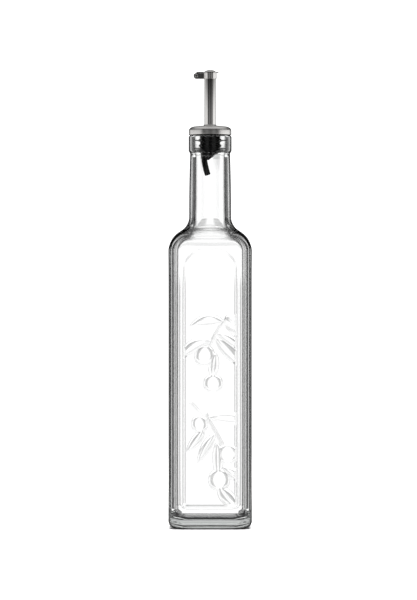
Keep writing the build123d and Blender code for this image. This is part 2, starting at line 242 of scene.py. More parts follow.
def glass_material():
    """Clear glass with faint ripples from the mould, painted shade on its colour where seen edge-on, and
    greyer on long ways through it.
    """
    material, tree, shader, output = node_material("clear_glass")
    shader.inputs["Roughness"].default_value = 0.0
    shader.inputs["IOR"].default_value = GLASS_IOR
    shader.inputs["Transmission Weight"].default_value = 1.0
    place = tree.nodes.new("ShaderNodeTexCoord")
    ripple = tree.nodes.new("ShaderNodeTexNoise")
    ripple.inputs["Scale"].default_value = 45.0
    ripple.inputs["Detail"].default_value = 1.0
    bump = tree.nodes.new("ShaderNodeBump")
    bump.inputs["Strength"].default_value = 0.06
    bump.inputs["Distance"].default_value = 0.0006
    tree.links.new(place.outputs["Object"], ripple.inputs["Vector"])
    tree.links.new(ripple.outputs["Fac"], bump.inputs["Height"])
    tree.links.new(bump.outputs["Normal"], shader.inputs["Normal"])
    # Painted shade: the glass's colour darkens where it is seen edge-on, which draws its outlines.
    edge = tree.nodes.new("ShaderNodeLayerWeight")
    edge.inputs["Blend"].default_value = 0.5
    # tint here carries the painted edge shade, not a colour of the glass itself
    tint = tree.nodes.new("ShaderNodeValToRGB")
    fill_ramp(tint, PAINTED_EDGE_SHADE)
    tree.links.new(edge.outputs["Facing"], tint.inputs["Fac"])
    tree.links.new(tint.outputs["Color"], shader.inputs["Base Color"])
    volume = tree.nodes.new("ShaderNodeVolumeAbsorption")
    volume.inputs["Color"].default_value = (0.70, 0.71, 0.705, 1.0)
    volume.inputs["Density"].default_value = GLASS_DENSITY
    tree.links.new(volume.outputs["Volume"], output.inputs["Volume"])
    return material


def steel_material(name, stretch, roughness):
    """Satin steel with fine brushing lines; stretch squeezes the noise along the brushing."""
    material, tree, shader, _ = node_material(name)
    shader.inputs["Metallic"].default_value = 1.0
    place = tree.nodes.new("ShaderNodeTexCoord")
    mapping = tree.nodes.new("ShaderNodeMapping")
    mapping.inputs["Scale"].default_value = stretch
    lines = tree.nodes.new("ShaderNodeTexNoise")
    lines.inputs["Scale"].default_value = 420.0
    lines.inputs["Detail"].default_value = 2.0
    tone = tree.nodes.new("ShaderNodeMapRange")
    tone.inputs["To Min"].default_value = roughness - 0.03
    tone.inputs["To Max"].default_value = roughness + 0.04
    colour = tree.nodes.new("ShaderNodeValToRGB")
    colour.color_ramp.elements[0].color = (0.74, 0.725, 0.71, 1)
    colour.color_ramp.elements[1].color = (0.82, 0.81, 0.795, 1)
    bump = tree.nodes.new("ShaderNodeBump")
    bump.inputs["Strength"].default_value = 0.05
    bump.inputs["Distance"].default_value = 0.00002
    links = tree.links
    links.new(place.outputs["Object"], mapping.inputs["Vector"])
    links.new(mapping.outputs["Vector"], lines.inputs["Vector"])
    links.new(lines.outputs["Fac"], tone.inputs["Value"])
    links.new(tone.outputs["Result"], shader.inputs["Roughness"])
    links.new(lines.outputs["Fac"], colour.inputs["Fac"])
    links.new(colour.outputs["Color"], shader.inputs["Base Color"])
    links.new(lines.outputs["Fac"], bump.inputs["Height"])
    links.new(bump.outputs["Normal"], shader.inputs["Normal"])
    return material


def black_material(name, tint, roughness, grain_scale, grain):
    """Black rubber or plastic with a fine moulded grain."""
    material, tree, shader, _ = node_material(name)
    shader.inputs["IOR"].default_value = 1.5
    shader.inputs["Specular IOR Level"].default_value = 0.08
    place = tree.nodes.new("ShaderNodeTexCoord")
    noise = tree.nodes.new("ShaderNodeTexNoise")
    noise.inputs["Scale"].default_value = grain_scale
    noise.inputs["Detail"].default_value = 4.0
    colour = tree.nodes.new("ShaderNodeValToRGB")
    colour.color_ramp.elements[0].color = (tint * 0.7, tint * 0.7, tint * 0.72, 1)
    colour.color_ramp.elements[1].color = (tint * 1.3, tint * 1.3, tint * 1.35, 1)
    rough = tree.nodes.new("ShaderNodeMapRange")
    rough.inputs["To Min"].default_value = roughness - 0.06
    rough.inputs["To Max"].default_value = roughness + 0.08
    bump = tree.nodes.new("ShaderNodeBump")
    bump.inputs["Strength"].default_value = grain
    bump.inputs["Distance"].default_value = 0.00008
    links = tree.links
    links.new(place.outputs["Object"], noise.inputs["Vector"])
    links.new(noise.outputs["Fac"], colour.inputs["Fac"])
    links.new(colour.outputs["Color"], shader.inputs["Base Color"])
    links.new(noise.outputs["Fac"], rough.inputs["Value"])
    links.new(rough.outputs["Result"], shader.inputs["Roughness"])
    links.new(noise.outputs["Fac"], bump.inputs["Height"])
    links.new(bump.outputs["Normal"], shader.inputs["Normal"])
    return material


glass = glass_material()
steel_turned = steel_material("satin_steel_turned", (1, 1, 14), 0.30)
steel_drawn = steel_material("satin_steel_drawn", (3, 3, 0.15), 0.09)
steel_pressed = steel_material("satin_steel_pressed", (0.6, 3, 3), 0.14)
rubber = black_material("black_rubber", 0.002, 0.42, 1800, 0.06)
plastic = black_material("black_plastic", 0.003, 0.33, 2600, 0.05)


# ---------------------------------------------------------------- embossed branches
# Places and lengths on the front face, in millimetres: x to the right, z up from the base.

PANEL_HALF_WIDTH = 18.9
PANEL_TOP = 189.2
PANEL_BOTTOM = 15.0
PANEL_TOP_CORNER = 14.0
PANEL_BOTTOM_CORNER = 3.0
PANEL_DEPTH = 0.5
PANEL_BEVEL = 2.8
LEAF_HEIGHT = 1.25
OLIVE_HEIGHT = 1.1
STEM_HEIGHT = 0.7

# Each leaf: where it joins the stem, its tip, its width and how far its middle line bows sideways.
LEAVES = [
    ((8.6, 140.3), (-13.3, 137.2), 9.4, 1.6),
    ((10.5, 143.0), (23.0, 131.0), 13.0, 1.0),
    ((0.8, 127.2), (-20.5, 113.8), 8.2, 3.4),
    ((4.8, 132.2), (22.5, 119.0), 6.6, 1.4),
    ((3.8, 129.2), (21.5, 108.8), 8.6, 0.6),
    ((3.6, 118.6), (2.0, 100.2), 6.6, 0.6),
    ((-0.8, 75.6), (30.0, 73.0), 8.2, 0.6),
    ((-4.4, 68.0), (-15.9, 52.4), 6.4, -0.6),
    ((3.0, 64.6), (-8.2, 45.0), 6.2, 0.7),
    ((4.6, 58.6), (5.2, 34.0), 6.8, 0.4),
    ((8.4, 42.2), (24.0, 30.0), 7.4, 1.0),
    ((5.6, 29.6), (20.0, 13.5), 9.4, -0.8),
]
# Each olive: centre, half width, half height and tilt in degrees.
OLIVES = [
    ((-3.7, 116.8), 6.6, 7.4, -18),
    ((2.0, 98.2), 6.5, 6.4, 0),
    ((-7.2, 70.9), 5.3, 6.2, 10),
    ((11.6, 50.8), 7.1, 7.0, 0),
    ((6.1, 33.6), 7.1, 7.6, 0),
]
# Each stem: its points, and its half thickness.
STEMS = [
    ([(10.5, 141.5), (6.4, 136.4), (3.2, 131.2), (0.4, 125.4), (-1.2, 122.6)], 0.75),
    ([(-12.6, 85.0), (-8.2, 80.2), (-2.6, 77.8), (-0.2, 72.6), (4.0, 65.4), (8.2, 57.6)], 0.75),
]
# Each knob, where a flower or fruit stalk was: centre and radius.
KNOBS = [((12.6, 141.8), 2.7), ((-2.8, 73.8), 1.6)]
KNOB_HEIGHT = 0.9
GROOVE_DEPTH = 0.12
GROOVE_HALF_WIDTH = 0.35
BRANCH_MARGIN = 1.2        # the branches fade out this far inside the panel's edge
BRANCH_FADE = 0.9


def smooth_step(values):
    """0 below 0, 1 above 1, and smooth between."""
    clipped = np.clip(values, 0, 1)
    return clipped * clipped * (3 - 2 * clipped)


def rounded_box_distance(x, z, half_width, low, high, top_corner, bottom_corner):
    """Distance inside an upright box with rounded corners; negative outside."""
    middle = (low + high) / 2
    corner = np.where(z > middle, top_corner, bottom_corner)
    across = np.abs(x) - half_width + corner
    along = np.abs(z - middle) - (high - low) / 2 + corner
    outside = np.hypot(np.maximum(across, 0), np.maximum(along, 0))
    return corner - outside - np.minimum(np.maximum(across, along), 0)


def leaf_height(x, z, root, tip, width, bow):
    """A pointed leaf with a rounded back, steep edges and a fine groove down its middle."""
    along = np.array(tip) - np.array(root)
    length = np.hypot(*along)
    along = along / length
    across = np.array([-along[1], along[0]])
    if across[1] < 0:
        across = -across
    u = ((x - root[0]) * along[0] + (z - root[1]) * along[1]) / length
    v = (x - root[0]) * across[0] + (z - root[1]) * across[1]
    inside = np.clip(u, 0, 1)
    v = v - bow * 4 * inside * (1 - inside)
    half = width / 2 * np.sin(np.pi * inside ** 0.85) ** 0.75 + 0.02
    side = np.clip(np.abs(v) / half, 0, 1)
    back = (1 - side**2) ** 0.85
    groove = GROOVE_DEPTH * np.exp(-(v / GROOVE_HALF_WIDTH) ** 2) * np.sin(np.pi * inside)
    share = half / (width / 2)
    height = LEAF_HEIGHT * back * share ** 0.35 - groove
    return np.where((u > 0) & (u < 1) & (side < 1), np.maximum(height, 0), 0)


def olive_height(x, z, centre, half_width, half_height, tilt):
    """An olive's rounded body, flattened on top."""
    turn = math.radians(tilt)
    across = (x - centre[0]) * math.cos(turn) + (z - centre[1]) * math.sin(turn)
    up = (z - centre[1]) * math.cos(turn) - (x - centre[0]) * math.sin(turn)
    reach = (across / half_width) ** 2 + (up / half_height) ** 2
    return OLIVE_HEIGHT * np.clip(1 - reach ** 3, 0, 1) ** 0.8


def stem_height(x, z, points, half):
    """A round stem along straight runs."""
    height = np.zeros_like(x)
    for (x0, z0), (x1, z1) in zip(points[:-1], points[1:]):
        run = np.array([x1 - x0, z1 - z0])
        share = ((x - x0) * run[0] + (z - z0) * run[1]) / (run @ run)
        share = np.clip(share, 0, 1)
        away = np.hypot(x - x0 - share * run[0], z - z0 - share * run[1]) / half
        height = np.maximum(height, STEM_HEIGHT * np.sqrt(np.clip(1 - away ** 2, 0, 1)))
    return height


def relief(x, z):
    """How far the front face stands out of its plane: the sunken panel and the branches on it."""
    inside = rounded_box_distance(
        x, z, PANEL_HALF_WIDTH, PANEL_BOTTOM, PANEL_TOP, PANEL_TOP_CORNER, PANEL_BOTTOM_CORNER
    )
    sunk = smooth_step(inside / PANEL_BEVEL)
    raised = np.zeros_like(x)
    for root, tip, width, bow in LEAVES:
        raised = np.maximum(raised, leaf_height(x, z, root, tip, width, bow))
    for centre, half_width, half_height, tilt in OLIVES:
        raised = np.maximum(raised, olive_height(x, z, centre, half_width, half_height, tilt))
    for points, half in STEMS:
        raised = np.maximum(raised, stem_height(x, z, points, half))
    for centre, radius in KNOBS:
        away = np.hypot(x - centre[0], z - centre[1])
        ring = KNOB_HEIGHT * np.clip(1 - (away / radius) ** 4, 0, 1) * (0.8 + 0.2 * np.cos(away * 3.4))
        raised = np.maximum(raised, ring)
    edge = smooth_step((inside - BRANCH_MARGIN) / BRANCH_FADE)
    return raised * edge - PANEL_DEPTH * sunk


# ---------------------------------------------------------------- the glass bottle

FRONT_COLUMNS = 104        # across the embossed flat
PLAIN_COLUMNS = 10         # across each other flat
CORNER_COLUMNS = 12
RELIEF_PITCH = 0.4         # row spacing of the embossed wall


def ring_plan():
    """Columns round the body: the flat or corner each is on, and its place there."""
    plan = []
    for side in range(4):
        columns = FRONT_COLUMNS if side == 0 else PLAIN_COLUMNS
        for step in range(columns):
            plan.append((side, "flat", -1 + 2 * step / columns))
        for step in range(CORNER_COLUMNS):
            plan.append((side, "corner", step / CORNER_COLUMNS))
    return plan


PLAN = ring_plan()


def square_ring(half, corner):
    """Points of a rounded square, one for each column, counter-clockwise from the front left."""
    flat = half - corner
    points = []
    for side, kind, place in PLAN:
        if kind == "flat":
            x, y = place * flat, -half
        else:
            angle = math.radians(-90 + 90 * place)
            x, y = flat + corner * math.cos(angle), -flat + corner * math.sin(angle)
        for _ in range(side):
            x, y = -y, x
        points.append((x, y))
    return np.array(points)


def blended_ring(half, corner, roundness):
    """Between a rounded square and a circle of the same half width."""
    square = square_ring(half, corner)
    body = square_ring(BODY_HALF, CORNER)
    circle = half * body / np.linalg.norm(body, axis=1)[:, None]
    return (1 - roundness) * square + roundness * circle


def s_curve(low_half, low_z, convex, high_half, high_z, concave, steps):
    """Outline from an upright wall, over a convex and a concave arc, to an upright neck."""
    low_centre = np.array([low_half - convex, low_z])
    high_centre = np.array([high_half + concave, high_z])
    between = high_centre - low_centre
    lean = math.atan2(between[1], between[0])
    lean -= math.acos((convex + concave) / np.hypot(*between))
    lean = math.degrees(lean)
    low = arc(low_centre, convex, 0, lean, steps)
    high = arc(high_centre, concave, 180 + lean, 180, steps)
    return low + high


def wall_half(z):
    """Half width of the outer wall: a touch wider at the heel and under the shoulder."""
    heel = WALL_SWELL * math.exp(-((z - 8) / 20) ** 2)
    top = SHOULDER_SWELL * math.exp(-((z - SHOULDER_Z) / 12) ** 2)
    return BODY_HALF - WALL_SWELL + heel + top


def outer_rows():
    """Rows of the outside, from the middle of the base up to the rim: half width, z, corner, roundness."""
    rows = []
    foot = BODY_HALF - HEEL_RADIUS
    heel = arc((foot, HEEL_RADIUS), HEEL_RADIUS, -90, 0, 14)
    for half, z in PUSH_UP + heel[:-1]:
        rows.append((half, z, max(CORNER - (BODY_HALF - half), 0.35 * half), 0.0))
    wall_rows = int((SHOULDER_Z - HEEL_RADIUS) / RELIEF_PITCH)
    for z in np.linspace(HEEL_RADIUS, SHOULDER_Z, wall_rows, endpoint=False):
        rows.append((wall_half(z), z, CORNER, 0.0))
    shoulder = s_curve(
        wall_half(SHOULDER_Z), SHOULDER_Z, SHOULDER_CONVEX, NECK_RADIUS, NECK_Z, SHOULDER_CONCAVE, 26
    )
    for half, z in shoulder:
        spread = (half - NECK_RADIUS) / (wall_half(SHOULDER_Z) - NECK_RADIUS)
        rows.append((half, z, min(CORNER, half), (1 - min(spread, 1)) ** 0.9))
    neck_top = FINISH_Z - 0.9
    for share in np.linspace(0, 1, 24)[1:]:
        swell = NECK_SWELL * math.sin(math.pi * share)
        half = NECK_RADIUS + (NECK_TOP_RADIUS - NECK_RADIUS) * share + swell
        rows.append((half, NECK_Z + (neck_top - NECK_Z) * share, min(CORNER, half), 1.0))
    finish = []
    for share in np.linspace(0, 1, 9)[1:]:
        half = NECK_TOP_RADIUS + (FINISH_RADIUS - NECK_TOP_RADIUS) * smooth_step(share)
        finish.append((half, neck_top + FINISH_SLOPE * share))
    finish += [(FINISH_RADIUS, RIM_TOP - 4), (FINISH_RADIUS, RIM_TOP - 1.1)]
    outer, inner = RIM_OUTER_ROUNDING, RIM_INNER_ROUNDING
    finish += arc((FINISH_RADIUS - outer, RIM_TOP - outer), outer, 8, 90, 7)
    finish += arc((MOUTH_RADIUS + inner, RIM_TOP - inner), inner, 90, 180, 6)
    rows += [(half, z, min(CORNER, half), 1.0) for half, z in finish]
    return rows


def inner_rows():
    """Rows of the inside, from the mouth down to the middle of the floor."""
    rows = []
    mouth = [(MOUTH_RADIUS, RIM_TOP - 5)]
    for share in np.linspace(0, 1, 9):
        half = MOUTH_RADIUS + (BORE_RADIUS - MOUTH_RADIUS) * smooth_step(share)
        mouth.append((half, RIM_TOP - MOUTH_DEPTH - MOUTH_TAPER * share))
    rows += [(half, z, min(CORNER, half), 1.0) for half, z in mouth]
    inner_half = BODY_HALF - WALL
    inner_corner = CORNER - WALL
    bore_foot = NECK_RADIUS - WALL
    for share in np.linspace(0, 1, 16, endpoint=False):
        half = BORE_RADIUS + (bore_foot - BORE_RADIUS) * share**3
        bore_top = RIM_TOP - BORE_TOP_DEPTH
        rows.append((half, bore_top + (NECK_Z - RIM_TOP + BORE_TOP_DEPTH) * share, inner_corner, 1.0))
    shoulder = s_curve(
        inner_half, SHOULDER_Z, SHOULDER_CONVEX - WALL,
        bore_foot, NECK_Z, SHOULDER_CONCAVE + WALL, 22,
    )
    for half, z in reversed(shoulder):
        spread = (half - bore_foot) / (inner_half - bore_foot)
        rows.append((half, z, min(inner_corner, half), (1 - min(spread, 1)) ** 0.9))
    for z in np.linspace(SHOULDER_Z, FLOOR + FLOOR_CORNER, 60)[1:]:
        rows.append((inner_half, z, inner_corner, 0.0))
    floor = arc((inner_half - FLOOR_CORNER, FLOOR + FLOOR_CORNER), FLOOR_CORNER, 0, -90, 12)[1:]
    floor += [(half, FLOOR - depth) for half, depth in FLOOR_HOLLOW]
    for half, z in floor:
        rows.append((half, z, max(inner_corner - (inner_half - half), 0.35 * half), 0.0))
    return rows


def glass_bottle_mesh():
    """One closed skin: base, embossed wall, shoulder, neck, mouth, and the inside down to its floor."""
    rings = []
    for half, z, corner, roundness in outer_rows():
        ring = blended_ring(half, corner, roundness)
        rings.append(np.column_stack([ring, np.full(len(ring), z)]))
    outer_count = len(rings)
    for half, z, corner, roundness in inner_rows():
        ring = blended_ring(half, corner, roundness)
        rings.append(np.column_stack([ring, np.full(len(ring), z)]))
    rings = np.array(rings)
    # The embossing moves the front flat of the outside only.
    front = slice(0, FRONT_COLUMNS + 1)
    face = rings[:outer_count, front]
    on_body = (face[..., 2] > HEEL_RADIUS) & (face[..., 2] < SHOULDER_Z + 6)
    rings[:outer_count, front, 1] -= np.where(on_body, relief(face[..., 0], face[..., 2]), 0)
    rows, columns = rings.shape[:2]
    points = rings.reshape(-1, 3).tolist()
    faces = []
    for row in range(rows - 1):
        for column in range(columns):
            right = (column + 1) % columns
            low, high = row * columns, (row + 1) * columns
            faces.append((low + column, low + right, high + right, high + column))
    points.append((0, 0, rings[0, 0, 2]))
    base_middle = len(points) - 1
    points.append((0, 0, rings[-1, 0, 2]))
    floor_middle = len(points) - 1
    last = (rows - 1) * columns
    for column in range(columns):
        right = (column + 1) % columns
        faces.append((base_middle, right, column))
        faces.append((floor_middle, last + column, last + right))
    return points, faces


bottle = new_piece("clear_glass_bottle", glass_bottle_mesh(), "bottle")
finish_piece(bottle, glass, "glass_bottle", sharp_degrees=80)


# ---------------------------------------------------------------- stopper, core and breather

STOPPER_BORE = 5.86
SLEEVE_RADIUS = 6.9
FIN_RADIUS = stopper_high.x
FIN_THICKNESS = 0.4
FIN_DROOP = 0.5
BEAD_HEIGHTS = (259.9, 263.2)
FIN_HEIGHTS = (257.9, 263.2)
BEAD_SIZE = 0.9
CORE_STEM = 5.8
CORE_SHOULDER = 2.6        # rounding round the top of the core's disc
CORE_GAP = 0.05            # between the core's flange and the rubber
DISC_GAP = 0.1             # between the core's disc and the rim
FLANGE_RADIUS = 7.2
FLANGE_FOOT = 254.9
# Groove under the flange, and the cone that leans towards the breather: x of the middle, radius and z.
NOZZLE_STATIONS = [
    (-0.05, FLANGE_RADIUS - 0.2, 254.5), (-0.2, 6.6, 254.1), (-0.35, 6.1, 253.85), (-0.45, 6.05, 253.6),
    (-0.55, 6.1, 253.4), (-0.9, 5.7, 252.9), (-1.6, 4.75, 251.9), (-2.4, 3.7, 250.8), (-2.8, 3.1, 250.1),
]
NOZZLE_TIP_X = -2.9
NOZZLE_TIP_RADIUS = 2.75
FLOW_X = 0.9
FLOW_RADIUS = 2.6
AIR_X = -4.0
AIR_RADIUS = 0.8
AIR_BORE = 0.5
AIR_HOLE_X = -4.65


def fin_outline(height):
    """A thin fin, from the sleeve out to the mouth's wall and back."""
    low = height - FIN_THICKNESS / 2
    high = height + FIN_THICKNESS / 2
    tip = arc((FIN_RADIUS - FIN_THICKNESS / 2, height), FIN_THICKNESS / 2, -90, 90, 6)
    root = SLEEVE_RADIUS + 0.25
    return [(root, low - FIN_DROOP), (root + 0.5, low - 0.8 * FIN_DROOP)] + tip + [(root + 0.5, high + 0.05)]


def bead_outline(height, start, end):
    """Part of a rounded rib round the sleeve, from start to end degrees."""
    return quarter_ellipse((SLEEVE_RADIUS, height), BEAD_SIZE, BEAD_SIZE, start, end, 6)


def stopper_profile():
    """Rubber sleeve from its lower inside edge, up its outside and down its bore."""
    low, high = stopper_low.z, stopper_high.z
    profile = arc((SLEEVE_RADIUS - 0.3, low + 0.3), 0.3, -90, 0, 4)
    profile += fin_outline(FIN_HEIGHTS[0])
    profile += [(SLEEVE_RADIUS, FIN_HEIGHTS[0] + 0.5), (SLEEVE_RADIUS, BEAD_HEIGHTS[0] - 1.1)]
    profile += bead_outline(BEAD_HEIGHTS[0], -90, 90)
    profile += [(SLEEVE_RADIUS, BEAD_HEIGHTS[1] - 1.1)]
    profile += bead_outline(BEAD_HEIGHTS[1], -90, -35)
    profile += fin_outline(FIN_HEIGHTS[1])[1:]
    profile += bead_outline(BEAD_HEIGHTS[1], 25, 90)
    profile += [(SLEEVE_RADIUS, high - 0.3)]
    profile += arc((SLEEVE_RADIUS - 0.3, high - 0.3), 0.3, 0, 90, 4)
    profile += [(STOPPER_BORE, high), (STOPPER_BORE, low)]
    return profile


stopper = new_piece("rubber_stopper", lathe(stopper_profile()), "stopper")
finish_piece(stopper, rubber, "fin_stopper")


def core_rings():
    """Disc, stem, flange and slanted nozzle, as circles from the disc's middle down to the nozzle's tip."""
    disc_radius, disc_top = core_high.x, core_high.z
    disc_bottom = RIM_TOP + DISC_GAP
    flange_top = stopper_low.z - CORE_GAP
    nozzle_tip = core_low.z
    shoulder_middle = (disc_radius - CORE_SHOULDER, disc_top - CORE_SHOULDER)
    stations = [(0, 0, disc_top)]
    stations += [(0, radius, z) for radius, z in arc(shoulder_middle, CORE_SHOULDER, 90, 0, 10)]
    stations += [(0, disc_radius, disc_bottom + 0.2), (0, disc_radius - 0.2, disc_bottom)]
    stations += [(0, CORE_STEM, disc_bottom)]
    stations += [(0, CORE_STEM, flange_top), (0, FLANGE_RADIUS - 0.4, flange_top)]
    stations += [(0, FLANGE_RADIUS, flange_top - 0.4), (0, FLANGE_RADIUS, FLANGE_FOOT)]
    stations += NOZZLE_STATIONS
    stations += [(NOZZLE_TIP_X, NOZZLE_TIP_RADIUS, nozzle_tip), (NOZZLE_TIP_X, 0, nozzle_tip)]
    return [level_ring(*station) for station in stations]


core = new_piece("pourer_core_moulding", skin(core_rings(), loop=False), "spout")
combine(core, "DIFFERENCE", peg(0, TUBE_RADIUS + 0.01, tube_low.z, core_high.z + 5, 96))
combine(core, "DIFFERENCE", peg(FLOW_X, FLOW_RADIUS, core_low.z - 5, tube_low.z + 1))
combine(core, "DIFFERENCE", peg(AIR_X, AIR_RADIUS, core_low.z - 5, RIM_TOP))
combine(core, "DIFFERENCE", peg(AIR_HOLE_X, AIR_BORE, RIM_TOP - 1, core_high.z + 5))
finish_piece(core, plastic, "pourer_core")


BREATHER_RADIUS = 2.0
BREATHER_START = (AIR_X, core_low.z)
BREATHER_BEND = (-3.3, 246.0)
BREATHER_TIP = (-1.5, 239.5)
TIP_ROUNDING = 0.7


def circle_through(first, middle, last):
    """Centre of the circle through three points."""
    rows = [np.subtract(middle, first), np.subtract(last, first)]
    sums = [np.dot(middle, middle) - np.dot(first, first), np.dot(last, last) - np.dot(first, first)]
    return np.linalg.solve(2 * np.array(rows), np.array(sums))


def breather_rings():
    """Curved tube from its spigot, down the outside to the rounded tip, and back up its bore."""
    centre = circle_through(BREATHER_START, BREATHER_BEND, BREATHER_TIP)
    radius = math.dist(centre, BREATHER_START)
    start = math.atan2(BREATHER_START[1] - centre[1], BREATHER_START[0] - centre[0])
    end = math.atan2(BREATHER_TIP[1] - centre[1], BREATHER_TIP[0] - centre[0])
    if end - start > math.pi:
        end -= 2 * math.pi
    if start - end > math.pi:
        end += 2 * math.pi

    def cross_ring(share, width):
        turn = start + (end - start) * share
        outward = (math.cos(turn), math.sin(turn)) if share > 0 else (-1.0, 0.0)
        middle = (centre[0] + radius * math.cos(turn), centre[1] + radius * math.sin(turn))
        ring = []
        for angle in np.linspace(0, 2 * math.pi, 40, endpoint=False):
            reach = width * math.cos(angle)
            x, z = middle[0] + outward[0] * reach, middle[1] + outward[1] * reach
            ring.append((x, width * math.sin(angle), z))
        return ring

    def spigot_ring(width, z):
        return [(AIR_X + x, -y, z) for x, y in arc((0, 0), width, 180, 540, 40)[:-1]]

    spigot_top = breather_high.z
    spigot = AIR_RADIUS - 0.02
    tip_share = TIP_ROUNDING / (radius * abs(end - start))
    rings = [spigot_ring(AIR_BORE, spigot_top)]
    rings += [spigot_ring(spigot, spigot_top), spigot_ring(spigot, core_low.z)]
    for share in np.linspace(0, 1 - tip_share, 22):
        rings.append(cross_ring(share, BREATHER_RADIUS))
    for angle in np.radians([20, 40, 60, 75, 90]):
        share = 1 - tip_share * (1 - math.sin(angle))
        rings.append(cross_ring(share, BREATHER_RADIUS - TIP_ROUNDING * (1 - math.cos(angle))))
    for share in np.linspace(1, 0, 22):
        rings.append(cross_ring(share, AIR_BORE))
    return rings


breather = new_piece("breather_tail", skin(breather_rings()), "spout")
finish_piece(breather, plastic, "breather_tube")


# ---------------------------------------------------------------- steel cap and spout

SHEET = 0.5
CAP_WALL_TOP = 270.0
CAP_DOME_RADIUS = 10.4
CAP_DOME_EDGE = 272.8
CAP_DOME_TOP = 273.4
HUB_FLARE = 0.7
VENT_RADIUS = 0.6
VENT_Y = 9.0


def cap_profile():
    """Pressed cap: hemmed lower edge, wall, rounded shoulder, shallow dome, and a flare up to the tube."""
    radius = cap_high.x
    bore = TUBE_RADIUS + 0.02
    hem = SHEET / 2
    profile = arc((radius - hem, cap_low.z + hem), hem, 180, 360, 8)
    profile += quarter_ellipse(
        (CAP_DOME_RADIUS, CAP_WALL_TOP), radius - CAP_DOME_RADIUS, CAP_DOME_EDGE - CAP_WALL_TOP, 0, 84, 14
    )
    hub = TUBE_RADIUS + HUB_FLARE
    profile += [(9.0, CAP_DOME_EDGE + 0.17), (7.2, CAP_DOME_EDGE + 0.4)]
    profile += quarter_ellipse((hub, cap_high.z), HUB_FLARE - 0.2, cap_high.z - CAP_DOME_TOP, 270, 184, 8)
    profile += [(bore + 0.12, cap_high.z), (bore, cap_high.z - 0.1), (bore, CAP_DOME_TOP - SHEET)]
    profile += quarter_ellipse(
        (CAP_DOME_RADIUS, CAP_WALL_TOP),
        radius - SHEET - CAP_DOME_RADIUS,
        CAP_DOME_EDGE - SHEET - CAP_WALL_TOP,
        88, 0, 12,
    )
    return profile


cap = new_piece("steel_cap", lathe(cap_profile()), "spout")
vent_points, vent_faces = peg(0, VENT_RADIUS, CAP_WALL_TOP, CAP_DOME_TOP + 2, 32)
combine(cap, "DIFFERENCE", ([(x, y + VENT_Y, z) for x, y, z in vent_points], vent_faces))
finish_piece(cap, steel_turned, "cap_shell")


def tube_profile():
    """Thin spout tube with a rounded lip."""
    lip = (TUBE_RADIUS - TUBE_BORE) / 2
    middle = TUBE_RADIUS - lip
    profile = [(TUBE_BORE, tube_low.z), (TUBE_RADIUS, tube_low.z)]
    profile += arc((middle, tube_high.z - lip), lip, 0, 180, 10)
    return profile


tube = new_piece("steel_spout_tube", lathe(tube_profile()), "spout")
finish_piece(tube, steel_drawn, "spout_tube")


# ---------------------------------------------------------------- hinge

COLLAR_SHEET = 0.45
COLLAR_BEND = 0.9          # where the band turns out into its ears
COLLAR_EDGE = 0.07
EAR_INNER_Y = 1.6
PIN_RADIUS = 0.75


def collar_path():
    """Middle line of the band in plan: out of one ear, round the tube, and back along the other ear."""
    band = TUBE_RADIUS + COLLAR_SHEET / 2 + 0.01
    ear_y = EAR_INNER_Y + COLLAR_SHEET / 2
    bend = COLLAR_BEND
    bend_y = -ear_y - bend
    bend_x = -math.sqrt((band + bend) ** 2 - bend_y**2)
    lean = math.degrees(math.atan2(-bend_y, -bend_x))
    ear_reach = collar_high.z - HINGE_Z
    rounded = [HINGE_X - ear_reach * math.sin(math.radians(a)) for a in (88, 80, 70, 60, 48, 36, 24, 12)]
    straight = list(np.linspace(HINGE_X, bend_x, 8, endpoint=False))
    half = [(x, -ear_y) for x in rounded + straight]
    half += arc((bend_x, bend_y), bend, 90, lean, 8)
    half += arc((0, 0), band, -180 + lean, 0, 30)[1:]
    return half + [(x, -y) for x, y in reversed(half[:-1])]


def collar_solid():
    """The band as a thick sheet: the path's two sides, top and bottom, with round ends on the ears."""
    path = np.array(collar_path())
    along = np.gradient(path, axis=0)
    along /= np.linalg.norm(along, axis=1)[:, None]
    across = np.column_stack([along[:, 1], -along[:, 0]])
    reach = collar_high.z - HINGE_Z
    edge = COLLAR_EDGE
    rings = []
    for (x, y), (side_x, side_y) in zip(path, across):
        over = max(HINGE_X - x, 0)
        half = math.sqrt(max(reach**2 - over**2, 0.004))
        thick = COLLAR_SHEET / 2
        side = [(thick, -half + edge), (thick, half - edge), (thick - edge, half), (edge - thick, half)]
        section = side + [(-out, -up) for out, up in side]
        rings.append([(x + side_x * out, y + side_y * out, HINGE_Z + up) for out, up in section])
    points, faces = skin(rings, loop=False)
    count = len(rings[0])
    faces.append(tuple(range(count)))
    faces.append(tuple(range(len(points) - count, len(points))))
    return points, faces


def across_hinge(solid):
    """An upright solid laid along the hinge's axis."""
    points, faces = solid
    return [(HINGE_X + x, z, HINGE_Z + y) for x, y, z in points], faces


collar = new_piece("hinge_band", collar_solid(), "spout")
combine(collar, "DIFFERENCE", across_hinge(peg(0, PIN_RADIUS + 0.01, -8, 8)))
finish_piece(collar, steel_pressed, "hinge_collar")


def pin_profile():
    """Rivet: a domed head at each end of a plain shank."""
    head_radius = (pin_high.x - pin_low.x) / 2
    face = EAR_INNER_Y + COLLAR_SHEET + 0.01
    end = pin_high.y
    head = quarter_ellipse((0, face + 0.1), head_radius, end - face - 0.1, 0, 90, 8)
    half = [(PIN_RADIUS, face), (head_radius - 0.05, face)] + head[:-1] + [(0, end)]
    return [(radius, -z) for radius, z in reversed(half)] + half


pin = new_piece("hinge_rivet", across_hinge(lathe(pin_profile(), loop=False)), "spout")
finish_piece(pin, steel_pressed, "hinge_pin")


# ---------------------------------------------------------------- flap lid

LID_BOTTOM = 309.4
LID_SHEET = 0.6
LID_RADIUS = 4.9
TONGUE_HALF_WIDTH = 2.4
LIP_HALF_WIDTH = 2.2
LIP_CORNER = 1.4
DOME_RADIUS = 4.1
KNUCKLE_RADIUS = 1.5
KNUCKLE_HALF_WIDTH = 1.4
KNUCKLE_WEB = 1.3


